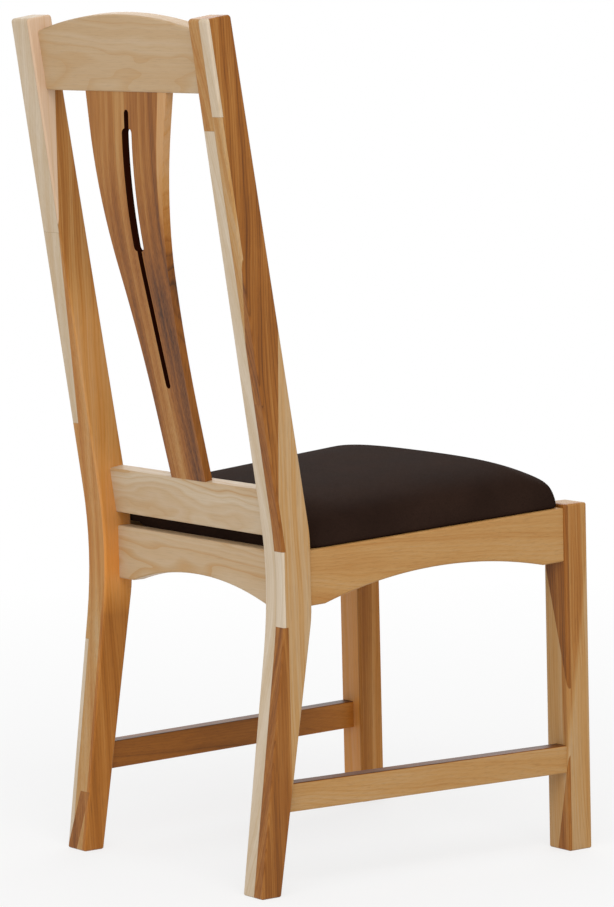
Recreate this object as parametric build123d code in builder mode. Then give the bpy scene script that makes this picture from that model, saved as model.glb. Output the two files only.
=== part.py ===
import os
from math import atan, cos, degrees, hypot, radians, sin, sqrt, tan

from build123d import *

os.makedirs("parts", exist_ok=True)

# Side chair in millimetres: x to the sitter's left, y to the back, z up from the floor
post_height = 1067.0
rear_width = 433.0
front_width = 482.0
front_face = -271.5

# Rear posts: a straight lower and a straight upper stretch that meet in a bend below the seat
post_width = 40.5
bend_drop = 37.0
bend_back = 173.7
bend_radius = 614.0
back_lean = 8.2
foot_lean = 7.5
post_top_depth = 35.5
post_foot_depth = 29.0
post_seat_depth = 34.7
seat_face_below = 12.0
seat_face_above = 19.0
seat_face_radius = 170.0
post_edge = 2.5
post_top_corner = 4.5
foot_edge = 1.5

# Front legs
leg_width = 42.5
leg_depth = 36.0
leg_rise = 4.5
leg_edge = 3.0

# Seat frame: aprons with arched lower edges, rising towards the front
seat_height = 418.0
seat_slope = 2.9
apron_height = 68.0
apron_thickness = 22.0
apron_reveal = 3.0
apron_edge = 2.5
side_land_rear = 22.0
side_land_front = 30.0
side_arch = 22.0
rear_apron_thickness = 20.0
rear_apron_drop = 3.0
cross_land = 30.0
cross_arch = 22.3

# Back rails, set forward from the line of the posts' back edges
crest_height = 74.5
crest_drop = 20.0
crest_rise = 20.5
crest_thickness = 21.0
crest_setback = 12.0
lower_rail_gap = 14.0
lower_rail_height = 58.0
lower_rail_thickness = 21.0
lower_rail_setback = 20.0
rail_edge = 2.5

# Back splat: upright at the crest, leaning below it, flared towards the top
splat_thickness = 10.0
splat_inset = 1.2
splat_bend_drop = 134.5
splat_bend_radius = 840.0
splat_top_width = 178.0
splat_waist_width = 82.4
splat_waist_rise = 185.6
splat_foot_width = 75.0
splat_flare_radius = 1500.0
splat_tongue = 12.0
tongue_play = 0.15
slot_drop = 21.5
slot_length = 346.0
slot_width = 9.5
wide_slot_drop = 23.0
wide_slot_length = 151.0
wide_slot_width = 21.0
wide_slot_corner = 6.0

# Side stretchers
stretcher_bottom = 100.0
stretcher_height = 35.2
stretcher_thickness = 22.0
stretcher_reveal_front = 3.5
stretcher_reveal_rear = 8.5
stretcher_edge = 2.0

# Dowels
dowel_diameter = 9.5
dowel_length = 38.0
dowel_in_leg = 16.0
dowel_play = 0.1
hole_end_play = 0.5
apron_dowel_spacing = 32.0
crest_dowel_spacing = 34.0
lower_rail_dowel_spacing = 28.0
stretcher_dowel_diameter = 8.0
stretcher_dowel_spacing = 14.0

# Corner blocks and their screws
block_thickness = 28.0
block_drop = 8.0
block_length = 62.0
block_nose = 14.0
block_play = 0.1
block_screw_clear = 15.0
block_screw_grip = 20.0
block_screw_bite = 14.0
seat_screw_place = 23.0
seat_screw_bite = 9.0
screw_diameter = 4.2
screw_head_diameter = 8.4
screw_head_height = 2.6
screw_play = 0.15
head_bore_diameter = 10.0
head_bore_depth = 6.0

# Upholstered seat: leather over foam on a board
seat_margin = 5.0
seat_rear_play = 2.0
seat_leg_play = 2.5
seat_lift = 0.3
seat_corner = 24.0
crown_height = 65.0
crown_reach = 150.0
crown_corner_growth = 0.36
corner_share = 0.95
crown_flat_inset = 124.0
crown_steps = 8
crown_crowding = 1.3
bulge_height = 12.0
draw_in = 4.0
cover_thickness = 1.2
cover_turn_under = 36.0
board_thickness = 12.0
board_inset = 5.0
seat_play = 0.3
dust_thickness = 0.6
dust_inset = 23.0
dust_leg_play = 6.0
staple_crown = 10.0
staple_width = 1.2
staple_wire = 0.7
staple_leg = 8.0
staple_play = 0.1
staple_inset = 29.5
staple_end_gap = 70.0
staples_per_side = 6

# Lines and levels worked out from the sizes above
lean = radians(back_lean)
slope = radians(seat_slope)
half_rear = rear_width / 2
half_front = front_width / 2
post_inner = half_rear - post_width
leg_inner = half_front - leg_width
leg_back = front_face + leg_depth
bend_height = seat_height - bend_drop
seat_face = bend_back - post_seat_depth
seat_face_bottom = seat_height - apron_height - seat_face_below
seat_face_top = seat_height + seat_face_above
crest_end_top = post_height - crest_drop
crest_bottom = crest_end_top - crest_height
lower_rail_bottom = seat_height + lower_rail_gap
rear_apron_top = seat_height - rear_apron_drop
side_outer_rear = half_rear - apron_reveal
side_outer_front = half_front - apron_reveal
side_skew = (side_outer_front - side_outer_rear) / (seat_face - leg_back)


def back_line(z):
    return bend_back + (z - bend_height) * tan(lean)


def seat_level(y):
    return seat_height + (seat_face - y) * tan(slope)


def side_outer(y):
    return side_outer_rear + (seat_face - y) * side_skew


def side_inner(y):
    return side_outer(y) - apron_thickness


foot_back = bend_back + bend_height * tan(radians(foot_lean))
foot_front = foot_back - post_foot_depth
top_back_height = post_height - post_top_depth * sin(lean)
top_back = back_line(top_back_height)
top_front = top_back - post_top_depth * cos(lean)
leg_top = seat_level(leg_back) + leg_rise
front_apron_front = front_face + apron_reveal
front_apron_back = front_apron_front + apron_thickness
front_apron_top = seat_level(front_apron_back)

# Plane of the posts' back edges above the bend: local y runs up the lean, local z points back
back_plane = Plane(
    origin=(0, bend_back, bend_height),
    x_dir=(-1, 0, 0),
    z_dir=(0, cos(lean), -sin(lean)),
)

# Plane of the seat frame's top: local x to the sitter's left, local y to the back
seat_plane = Plane(
    origin=(0, seat_face, seat_height),
    x_dir=(1, 0, 0),
    z_dir=(0, sin(slope), cos(slope)),
)

# Front face of the posts below the seat, facing forward
foot_face = Plane(
    origin=(0, foot_front, 0),
    x_dir=(1, 0, 0),
    z_dir=(0, -seat_face_bottom, seat_face - foot_front),
)


def up_the_lean(z, setback):
    return (z - bend_height - setback * sin(lean)) / cos(lean)


def seat_run(y):
    return (y - seat_face) / cos(slope)


crest_bottom_lean = up_the_lean(crest_bottom, crest_setback)
crest_end_lean = up_the_lean(crest_end_top, crest_setback)
lower_rail_bottom_lean = up_the_lean(lower_rail_bottom, lower_rail_setback)
lower_rail_top_lean = lower_rail_bottom_lean + lower_rail_height
lower_rail_top = lower_rail_bottom + lower_rail_height * cos(lean)
stretcher_middle = stretcher_bottom + stretcher_height / 2
stretcher_rear = foot_front + (seat_face - foot_front) * stretcher_middle / seat_face_bottom
stretcher_outer_rear = half_rear - stretcher_reveal_rear
stretcher_outer_front = half_front - stretcher_reveal_front
stretcher_skew = (stretcher_outer_front - stretcher_outer_rear) / (stretcher_rear - leg_back)

# Joint planes on the left side: local z runs along the dowels into the post or leg, local x along their row
upward = (0, 0, 1)


def cross_joint(x, y, z, row):
    return Plane(origin=(x, y, z), x_dir=row, z_dir=(1, 0, 0))


def lean_joint(bottom, top, core):
    centre = back_plane.from_local_coords((0, (bottom + top) / 2, -core))
    return cross_joint(post_inner, centre.Y, centre.Z, (0, sin(lean), cos(lean)))


def long_joint(x, y, z, axis):
    return Plane(origin=(x, y, z), x_dir=upward, z_dir=axis)


def other_side(joint):
    origin, row, axis = joint.origin, joint.x_dir, joint.z_dir
    return Plane(
        origin=(-origin.X, origin.Y, origin.Z),
        x_dir=(-row.X, row.Y, row.Z),
        z_dir=(-axis.X, axis.Y, axis.Z),
    )


crest_joint = lean_joint(crest_bottom_lean, crest_end_lean, crest_setback + crest_thickness / 2)
lower_rail_joint = lean_joint(
    lower_rail_bottom_lean, lower_rail_top_lean, lower_rail_setback + lower_rail_thickness / 2
)
rear_apron_joint = cross_joint(
    post_inner, seat_face + rear_apron_thickness / 2, rear_apron_top - apron_height / 2, upward
)
front_apron_joint = cross_joint(
    leg_inner, (front_apron_front + front_apron_back) / 2, front_apron_top - apron_height / 2, upward
)
side_rear_joint = long_joint(
    side_outer_rear - apron_thickness / 2, seat_face, seat_height - apron_height / 2, (-side_skew, 1, 0)
)
side_front_joint = long_joint(
    side_outer_front - apron_thickness / 2,
    leg_back,
    seat_level(leg_back) - apron_height / 2,
    (side_skew, -1, 0),
)
stretcher_rear_joint = long_joint(
    stretcher_outer_rear - stretcher_thickness / 2, stretcher_rear, stretcher_middle, (-stretcher_skew, 1, 0)
)
stretcher_front_joint = long_joint(
    stretcher_outer_front - stretcher_thickness / 2, leg_back, stretcher_middle, (stretcher_skew, -1, 0)
)


# Screw planes on the left side, at the face that a screw enters: local z runs from its head to its tip
front_block_top = front_apron_top - block_drop
rear_block_top = rear_apron_top - block_drop
front_block_middle = front_block_top - block_thickness / 2
rear_block_middle = rear_block_top - block_thickness / 2


def side_screw(y, z):
    return Plane(origin=(side_inner(y), y, z), z_dir=(1, side_skew, 0))


def seat_screw(x, y, block_top):
    return Plane(origin=(x, y, block_top - block_thickness + head_bore_depth), z_dir=upward)


block_screw_place = dowel_length - dowel_in_leg + block_screw_clear
front_apron_screw = Plane(
    origin=(leg_inner - block_screw_place, front_apron_back, front_block_middle), z_dir=(0, -1, 0)
)
rear_apron_screw = Plane(
    origin=(post_inner - block_screw_place, seat_face, rear_block_middle), z_dir=(0, 1, 0)
)
front_side_screw = side_screw(leg_back + block_screw_place, front_block_middle)
rear_side_screw = side_screw(seat_face - block_screw_place, rear_block_middle)
front_seat_screw = seat_screw(leg_inner - seat_screw_place, leg_back + seat_screw_place, front_block_top)
rear_seat_screw = seat_screw(
    side_inner(seat_face) - seat_screw_place, seat_face - seat_screw_place, rear_block_top
)
block_screws = (front_apron_screw, rear_apron_screw, front_side_screw, rear_side_screw)
seat_screws = (front_seat_screw, rear_seat_screw)
screw_bore = screw_diameter + 2 * screw_play
pilot_depth = block_screw_bite + hole_end_play


def both_sides(planes):
    return [side for plane in planes for side in (plane, other_side(plane))]


def dowel_row(joint, spacing, diameter=dowel_diameter, play=0.0, end_play=0.0, mode=Mode.ADD):
    middle = joint.offset(dowel_in_leg - dowel_length / 2)
    with Locations(middle.location):
        with Locations((-spacing / 2, 0, 0), (spacing / 2, 0, 0)):
            Cylinder(diameter / 2 + play, dowel_length + 2 * end_play, mode=mode)


def dowel_bores(joint, spacing, diameter=dowel_diameter):
    dowel_row(joint, spacing, diameter, dowel_play, hole_end_play, Mode.SUBTRACT)


def rod(plane, diameter, low, high, mode=Mode.ADD):
    with Locations(plane.offset(low).location):
        Cylinder(diameter / 2, high - low, align=(Align.CENTER, Align.CENTER, Align.MIN), mode=mode)


def finish(builder, name):
    builder.part.label = name
    export_step(builder.part, f"parts/{name}.step")


def finish_pair(builder, name):
    finish(builder, f"left_{name}")
    with BuildPart() as twin:
        mirror(builder.part, about=Plane.YZ)
    finish(twin, f"right_{name}")


# Rear posts
with BuildPart() as rear_post:
    with BuildSketch(Plane.YZ.offset(post_inner)) as post_side:
        with BuildLine():
            FilletPolyline(
                (foot_back, 0),
                (bend_back, bend_height),
                (top_back, top_back_height),
                radius=bend_radius,
            )
            Line((top_back, top_back_height), (top_front, post_height))
            FilletPolyline(
                (top_front, post_height),
                (seat_face, seat_face_top),
                (seat_face, seat_face_bottom),
                (foot_front, 0),
                radius=seat_face_radius,
            )
            Line((foot_front, 0), (foot_back, 0))
        make_face()
        fillet(post_side.vertices().sort_by(Axis.Y)[-2:], post_top_corner)
    extrude(amount=post_width)
    foot_edges = rear_post.faces().sort_by(Axis.Z)[0].edges()
    fillet(rear_post.edges() - foot_edges, post_edge)
    chamfer(rear_post.faces().sort_by(Axis.Z)[0].edges(), foot_edge)
    dowel_bores(crest_joint, crest_dowel_spacing)
    dowel_bores(lower_rail_joint, lower_rail_dowel_spacing)
    dowel_bores(rear_apron_joint, apron_dowel_spacing)
    dowel_bores(side_rear_joint, apron_dowel_spacing)
    dowel_bores(stretcher_rear_joint, stretcher_dowel_spacing, stretcher_dowel_diameter)
finish_pair(rear_post, "rear_post")

# Front legs
with BuildPart() as front_leg:
    with BuildSketch():
        with Locations((half_front, front_face)):
            Rectangle(leg_width, leg_depth, align=(Align.MAX, Align.MIN))
    extrude(amount=leg_top)
    foot_edges = front_leg.faces().sort_by(Axis.Z)[0].edges()
    fillet(front_leg.edges() - foot_edges, leg_edge)
    chamfer(front_leg.faces().sort_by(Axis.Z)[0].edges(), foot_edge)
    dowel_bores(front_apron_joint, apron_dowel_spacing)
    dowel_bores(side_front_joint, apron_dowel_spacing)
    dowel_bores(stretcher_front_joint, stretcher_dowel_spacing, stretcher_dowel_diameter)
finish_pair(front_leg, "front_leg")

# Back splat: a bowed side outline crossed with a flared front outline
splat_bend_height = crest_bottom - splat_bend_drop
splat_waist_height = lower_rail_top + splat_waist_rise
splat_top = crest_bottom + splat_tongue
splat_foot = lower_rail_top - splat_tongue
splat_top_back = back_line(crest_bottom) - crest_setback / cos(lean) - splat_inset
splat_rail_back = back_line(lower_rail_top) - lower_rail_setback / cos(lean) - splat_inset
splat_lean = atan((splat_top_back - splat_rail_back) / (splat_bend_height - lower_rail_top))


def splat_form(play=0.0, end_play=0.0):
    top = splat_top + end_play
    foot = splat_foot - end_play
    foot_back = splat_rail_back - (lower_rail_top - foot) * tan(splat_lean)
    back_shift = play / cos(splat_lean)
    front_shift = (splat_thickness + play) / cos(splat_lean)
    upper_front = splat_top_back - splat_thickness - play
    half_top = splat_top_width / 2 + play
    half_foot = splat_foot_width / 2 + play
    with BuildPart() as form:
        with BuildSketch(Plane.YZ):
            with BuildLine():
                FilletPolyline(
                    (foot_back + back_shift, foot),
                    (splat_top_back + play, splat_bend_height - play * tan(splat_lean / 2)),
                    (splat_top_back + play, top),
                    radius=splat_bend_radius + play,
                )
                Line((splat_top_back + play, top), (upper_front, top))
                FilletPolyline(
                    (upper_front, top),
                    (upper_front, splat_bend_height + (splat_thickness + play) * tan(splat_lean / 2)),
                    (foot_back - front_shift, foot),
                    radius=splat_bend_radius - splat_thickness - play,
                )
                Line((foot_back - front_shift, foot), (foot_back + back_shift, foot))
            make_face()
        extrude(amount=half_top, both=True)
        with BuildSketch(Plane.XZ):
            with BuildLine():
                side = FilletPolyline(
                    (half_foot, foot),
                    (splat_waist_width / 2 + play, splat_waist_height),
                    (half_top, crest_bottom),
                    radius=splat_flare_radius,
                )
                tongue_side = Line((half_top, crest_bottom), (half_top, top))
                mirror(side, about=Plane.YZ)
                mirror(tongue_side, about=Plane.YZ)
                Line((-half_top, top), (half_top, top))
                Line((-half_foot, foot), (half_foot, foot))
            make_face()
        extrude(amount=top, both=True, mode=Mode.INTERSECT)
    return form.part


slot_top = crest_bottom - slot_drop
wide_slot_top = slot_top - wide_slot_drop
with BuildPart() as back_splat:
    add(splat_form())
    with BuildSketch(Plane.XZ):
        with Locations((0, slot_top - slot_length / 2)):
            SlotOverall(slot_length, slot_width, rotation=90)
        with Locations((0, wide_slot_top - wide_slot_length / 2)):
            RectangleRounded(wide_slot_width, wide_slot_length, wide_slot_corner)
    extrude(amount=splat_top, both=True, mode=Mode.SUBTRACT)
finish(back_splat, "back_splat")

splat_socket = splat_form(tongue_play, hole_end_play)

# Back rails
with BuildPart() as crest_rail:
    with BuildSketch(back_plane.offset(-crest_setback)):
        with BuildLine():
            Polyline(
                (-post_inner, crest_end_lean),
                (-post_inner, crest_bottom_lean),
                (post_inner, crest_bottom_lean),
                (post_inner, crest_end_lean),
            )
            ThreePointArc(
                (post_inner, crest_end_lean),
                (0, crest_end_lean + crest_rise),
                (-post_inner, crest_end_lean),
            )
        make_face()
    extrude(amount=-crest_thickness)
    ends = crest_rail.faces().filter_by(Axis.X).edges()
    fillet(crest_rail.edges() - ends, rail_edge)
    add(splat_socket, mode=Mode.SUBTRACT)
    for joint in both_sides([crest_joint]):
        dowel_bores(joint, crest_dowel_spacing)
finish(crest_rail, "crest_rail")

with BuildPart() as lower_back_rail:
    with BuildSketch(back_plane.offset(-lower_rail_setback)):
        with Locations((0, lower_rail_bottom_lean)):
            Rectangle(2 * post_inner, lower_rail_height, align=(Align.CENTER, Align.MIN))
    extrude(amount=-lower_rail_thickness)
    ends = lower_back_rail.faces().filter_by(Axis.X).edges()
    fillet(lower_back_rail.edges() - ends, rail_edge)
    add(splat_socket, mode=Mode.SUBTRACT)
    for joint in both_sides([lower_rail_joint]):
        dowel_bores(joint, lower_rail_dowel_spacing)
finish(lower_back_rail, "lower_back_rail")


# Rear and front aprons
def cross_apron(front, thickness, half_span, top, joint, screw):
    low = top - apron_height
    with BuildPart() as apron:
        with BuildSketch(Plane.XZ.offset(-front)):
            with BuildLine():
                Polyline(
                    (cross_land - half_span, low),
                    (-half_span, low),
                    (-half_span, top),
                    (half_span, top),
                    (half_span, low),
                    (half_span - cross_land, low),
                )
                ThreePointArc(
                    (half_span - cross_land, low), (0, low + cross_arch), (cross_land - half_span, low)
                )
            make_face()
        extrude(amount=-thickness)
        ends = apron.faces().filter_by(Axis.X).edges()
        fillet((apron.edges() - ends).filter_by(Axis.Y, reverse=True), apron_edge)
        for plane in both_sides([joint]):
            dowel_bores(plane, apron_dowel_spacing)
        for plane in both_sides([screw]):
            rod(plane, screw_bore, 0, pilot_depth, Mode.SUBTRACT)
    return apron


rear_apron = cross_apron(
    seat_face, rear_apron_thickness, post_inner, rear_apron_top, rear_apron_joint, rear_apron_screw
)
finish(rear_apron, "rear_apron")
front_apron = cross_apron(
    front_apron_front, apron_thickness, leg_inner, front_apron_top, front_apron_joint, front_apron_screw
)
finish(front_apron, "front_apron")

# Side aprons, skewed in plan and rising to the front
arch_rear = seat_face - side_land_rear
arch_front = leg_back + side_land_front
arch_middle = (arch_rear + arch_front) / 2


def below_seat(y, drop):
    return (y, seat_level(y) - drop)


with BuildPart() as side_apron:
    with BuildSketch():
        with BuildLine():
            Polyline(
                (side_outer(seat_face), seat_face),
                (side_outer(leg_back), leg_back),
                (side_inner(leg_back), leg_back),
                (side_inner(seat_face), seat_face),
                close=True,
            )
        make_face()
    extrude(amount=leg_top)
    with BuildSketch(Plane.YZ):
        with BuildLine():
            Polyline(
                below_seat(arch_rear, apron_height),
                below_seat(seat_face, apron_height),
                below_seat(seat_face, 0),
                below_seat(leg_back, 0),
                below_seat(leg_back, apron_height),
                below_seat(arch_front, apron_height),
            )
            ThreePointArc(
                below_seat(arch_front, apron_height),
                below_seat(arch_middle, apron_height - side_arch),
                below_seat(arch_rear, apron_height),
            )
        make_face()
    extrude(amount=half_front, mode=Mode.INTERSECT)
    ends = side_apron.faces().filter_by(Axis.Y).edges()
    fillet((side_apron.edges() - ends).filter_by(Axis.X, reverse=True), apron_edge)
    for joint in (side_rear_joint, side_front_joint):
        dowel_bores(joint, apron_dowel_spacing)
    for plane in (front_side_screw, rear_side_screw):
        rod(plane, screw_bore, 0, pilot_depth, Mode.SUBTRACT)
finish_pair(side_apron, "side_apron")

# Stretchers, cut at the rear to the slant of the posts
stretcher_over = stretcher_outer_rear - (foot_back - stretcher_rear) * stretcher_skew
with BuildPart() as stretcher:
    with BuildSketch(Plane.XY.offset(stretcher_bottom)):
        with BuildLine():
            Polyline(
                (stretcher_over, foot_back),
                (stretcher_outer_front, leg_back),
                (stretcher_outer_front - stretcher_thickness, leg_back),
                (stretcher_over - stretcher_thickness, foot_back),
                close=True,
            )
        make_face()
    extrude(amount=stretcher_height)
    ends = stretcher.faces().filter_by(Axis.Y).edges()
    fillet(stretcher.edges() - ends, stretcher_edge)
    split(bisect_by=foot_face, keep=Keep.TOP)
    for joint in (stretcher_rear_joint, stretcher_front_joint):
        dowel_bores(joint, stretcher_dowel_spacing, stretcher_dowel_diameter)
finish_pair(stretcher, "stretcher")

# Dowels
with BuildPart() as crest_rail_dowels:
    for joint in both_sides([crest_joint]):
        dowel_row(joint, crest_dowel_spacing)
finish(crest_rail_dowels, "crest_rail_dowels")

with BuildPart() as lower_back_rail_dowels:
    for joint in both_sides([lower_rail_joint]):
        dowel_row(joint, lower_rail_dowel_spacing)
finish(lower_back_rail_dowels, "lower_back_rail_dowels")

with BuildPart() as rear_apron_dowels:
    for joint in both_sides([rear_apron_joint]):
        dowel_row(joint, apron_dowel_spacing)
finish(rear_apron_dowels, "rear_apron_dowels")

with BuildPart() as front_apron_dowels:
    for joint in both_sides([front_apron_joint]):
        dowel_row(joint, apron_dowel_spacing)
finish(front_apron_dowels, "front_apron_dowels")

with BuildPart() as side_apron_dowels:
    for joint in (side_rear_joint, side_front_joint):
        dowel_row(joint, apron_dowel_spacing)
finish_pair(side_apron_dowels, "side_apron_dowels")

with BuildPart() as stretcher_dowels:
    for joint in (stretcher_rear_joint, stretcher_front_joint):
        dowel_row(joint, stretcher_dowel_spacing, stretcher_dowel_diameter)
finish_pair(stretcher_dowels, "stretcher_dowels")


# Corner blocks: the front pair is notched round the legs
def block_side(y):
    return side_inner(y) - block_play


def corner_block(outline, top, apron_screws, seat_screw_plane):
    with BuildPart() as block:
        with BuildSketch(Plane.XY.offset(top - block_thickness)):
            with BuildLine():
                Polyline(*outline, close=True)
            make_face()
        extrude(amount=block_thickness)
        for plane in apron_screws:
            rod(plane, screw_bore, -block_screw_grip, 0, Mode.SUBTRACT)
            rod(plane, head_bore_diameter, -block_length, -block_screw_grip, Mode.SUBTRACT)
        rod(seat_screw_plane, screw_bore, 0, block_thickness, Mode.SUBTRACT)
        rod(seat_screw_plane, head_bore_diameter, -head_bore_depth, 0, Mode.SUBTRACT)
    return block


front_block_end = leg_back + block_length
rear_block_end = seat_face - block_length
front_block_tip = leg_inner - block_length
rear_block_tip = side_inner(seat_face) - block_length
front_block_outline = (
    (front_block_tip, front_apron_back + block_play),
    (leg_inner - block_play, front_apron_back + block_play),
    (leg_inner - block_play, leg_back + block_play),
    (block_side(leg_back), leg_back + block_play),
    (block_side(front_block_end), front_block_end),
    (block_side(front_block_end) - block_nose, front_block_end),
    (front_block_tip, front_apron_back + block_nose),
)
rear_block_outline = (
    (rear_block_tip, seat_face - block_play),
    (block_side(seat_face), seat_face - block_play),
    (block_side(rear_block_end), rear_block_end),
    (block_side(rear_block_end) - block_nose, rear_block_end),
    (rear_block_tip, seat_face - block_nose),
)
front_corner_block = corner_block(
    front_block_outline, front_block_top, (front_apron_screw, front_side_screw), front_seat_screw
)
finish_pair(front_corner_block, "front_corner_block")
rear_corner_block = corner_block(
    rear_block_outline, rear_block_top, (rear_apron_screw, rear_side_screw), rear_seat_screw
)
finish_pair(rear_corner_block, "rear_corner_block")

with BuildPart() as corner_block_screws:
    for plane in both_sides(block_screws):
        rod(plane, screw_diameter, -block_screw_grip, block_screw_bite)
        rod(plane, screw_head_diameter, -block_screw_grip - screw_head_height, -block_screw_grip)
finish(corner_block_screws, "corner_block_screws")

# Seat: planes measured up from the seat frame, outlines measured in from the seat's edge
seat_base = seat_plane.offset(seat_lift)
board_level = cover_thickness + seat_play


def seat_outline(plane, inset):
    rear = seat_face - seat_rear_play - inset
    front = front_apron_front + seat_margin + inset
    side_inset = (seat_margin + inset) * hypot(1, side_skew)
    half_back = side_outer(rear) - side_inset
    half_fore = side_outer(front) - side_inset
    corner_room = corner_share * min(half_back, half_fore, (rear - front) / 2)
    with BuildSketch(plane) as outline:
        with BuildLine():
            Polyline(
                (-half_back, seat_run(rear)),
                (half_back, seat_run(rear)),
                (half_fore, seat_run(front)),
                (-half_fore, seat_run(front)),
                close=True,
            )
        make_face()
        fillet(outline.vertices(), min(seat_corner + crown_corner_growth * inset, corner_room))
    return outline.sketch


def leg_notches(play):
    for side, align in ((1, Align.MIN), (-1, Align.MAX)):
        with Locations((side * (leg_inner - play), leg_back + play, leg_top)):
            Box(
                2 * leg_width,
                2 * leg_depth,
                4 * crown_height,
                align=(align, Align.MAX, Align.CENTER),
                mode=Mode.SUBTRACT,
            )


def seat_screw_holes():
    for plane in both_sides(seat_screws):
        rod(plane, screw_bore, 0, seat_screw_length(plane) + hole_end_play, Mode.SUBTRACT)


def seat_screw_length(plane):
    board_bottom = seat_level(plane.origin.Y) + (seat_lift + board_level) / cos(slope)
    return board_bottom + seat_screw_bite - plane.origin.Z


def crowned_pad(shrink):
    rise = crown_height - bulge_height - shrink
    sections = [
        seat_outline(seat_base.offset(shrink), draw_in + shrink),
        seat_outline(seat_base.offset(bulge_height), shrink),
    ]
    for step in range(1, crown_steps + 1):
        inset = crown_flat_inset * (step / crown_steps) ** crown_crowding
        plane = seat_base.offset(bulge_height + rise * sqrt(1 - (1 - inset / crown_reach) ** 2))
        sections.append(seat_outline(plane, shrink + inset))
    with BuildPart() as pad:
        loft(sections)
        leg_notches(seat_leg_play + shrink)
    return pad.part


# Staples along the seat's four edges, in the seat's own plane
def staple_spots():
    rear = seat_face - seat_rear_play - staple_inset
    front = front_apron_front + seat_margin + staple_inset
    half_back = side_outer(rear) - seat_margin - staple_inset
    half_fore = side_outer(front) - seat_margin - staple_inset
    turn = degrees(atan(side_skew))
    spots = []
    for number in range(staples_per_side):
        share = number / (staples_per_side - 1)
        rear_x = (half_back - staple_end_gap / 2) * (2 * share - 1)
        front_x = (half_fore - staple_end_gap / 2) * (2 * share - 1)
        side_y = front + staple_end_gap / 2 + (rear - front - staple_end_gap) * share
        side_x = side_outer(side_y) - seat_margin - staple_inset
        spots.append(Location((rear_x, seat_run(rear), 0)))
        spots.append(Location((front_x, seat_run(front), 0)))
        spots.append(Location((side_x, seat_run(side_y), 0), (0, 0, 90 + turn)))
        spots.append(Location((-side_x, seat_run(side_y), 0), (0, 0, 90 - turn)))
    return spots


crown_level = -dust_thickness - 2 * staple_play


def staple_legs(play=0.0, mode=Mode.ADD):
    with Locations(seat_base.offset(crown_level).location):
        with Locations(*staple_spots()):
            for end in (-1, 1):
                with Locations((end * (staple_crown - staple_wire) / 2, 0, 0)):
                    Box(
                        staple_wire + 2 * play,
                        staple_width + 2 * play,
                        staple_leg + play,
                        align=(Align.CENTER, Align.CENTER, Align.MIN),
                        mode=mode,
                    )


with BuildPart() as cover_staples:
    staple_legs()
    with Locations(seat_base.offset(crown_level).location):
        with Locations(*staple_spots()):
            Box(
                staple_crown,
                staple_width,
                staple_wire,
                align=(Align.CENTER, Align.CENTER, Align.MAX),
            )
finish(cover_staples, "cover_staples")

with BuildPart() as seat_cover:
    add(crowned_pad(0))
    add(crowned_pad(cover_thickness), mode=Mode.SUBTRACT)
    extrude(seat_outline(seat_base, cover_turn_under), amount=board_level, mode=Mode.SUBTRACT)
    staple_legs(staple_play, Mode.SUBTRACT)
    seat_screw_holes()
finish(seat_cover, "seat_cover")

with BuildPart() as seat_foam:
    add(crowned_pad(cover_thickness + seat_play))
    split(bisect_by=seat_base.offset(board_level + board_thickness + seat_play), keep=Keep.TOP)
finish(seat_foam, "seat_foam")

with BuildPart() as seat_board:
    extrude(seat_outline(seat_base.offset(board_level), draw_in + board_level + board_inset), amount=board_thickness)
    leg_notches(seat_leg_play + board_level + board_inset)
    staple_legs(staple_play, Mode.SUBTRACT)
    seat_screw_holes()
finish(seat_board, "seat_board")

with BuildPart() as dust_cover:
    extrude(seat_outline(seat_base.offset(-staple_play), dust_inset), amount=-dust_thickness)
    leg_notches(dust_leg_play)
    staple_legs(staple_play, Mode.SUBTRACT)
    seat_screw_holes()
finish(dust_cover, "dust_cover")

with BuildPart() as seat_screw_set:
    for plane in both_sides(seat_screws):
        rod(plane, screw_diameter, 0, seat_screw_length(plane))
        rod(plane, screw_head_diameter, -screw_head_height, 0)
finish(seat_screw_set, "seat_screws")
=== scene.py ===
from math import cos, pi, radians, sin, tan

import bpy
import numpy as np
from mathutils import Matrix, Vector


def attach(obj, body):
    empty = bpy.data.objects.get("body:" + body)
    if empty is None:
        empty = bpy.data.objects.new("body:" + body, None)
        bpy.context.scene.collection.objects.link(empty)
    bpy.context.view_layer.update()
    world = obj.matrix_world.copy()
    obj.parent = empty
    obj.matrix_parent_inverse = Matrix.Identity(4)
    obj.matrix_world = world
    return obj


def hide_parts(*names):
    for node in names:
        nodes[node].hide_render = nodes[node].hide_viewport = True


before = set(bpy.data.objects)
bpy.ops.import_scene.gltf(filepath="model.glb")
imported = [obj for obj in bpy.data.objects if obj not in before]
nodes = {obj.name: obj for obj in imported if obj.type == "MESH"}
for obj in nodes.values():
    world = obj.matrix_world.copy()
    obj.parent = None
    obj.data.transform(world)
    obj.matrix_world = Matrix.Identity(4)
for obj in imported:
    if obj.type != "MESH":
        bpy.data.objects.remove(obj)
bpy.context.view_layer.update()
print("frame:", len(nodes), "nodes")


def srgb(red, green, blue):  # screen values to the linear ones that shaders take
    parts = [value / 255 for value in (red, green, blue)]
    return tuple(p / 12.92 if p < 0.04045 else ((p + 0.055) / 1.055) ** 2.4 for p in parts)


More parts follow.
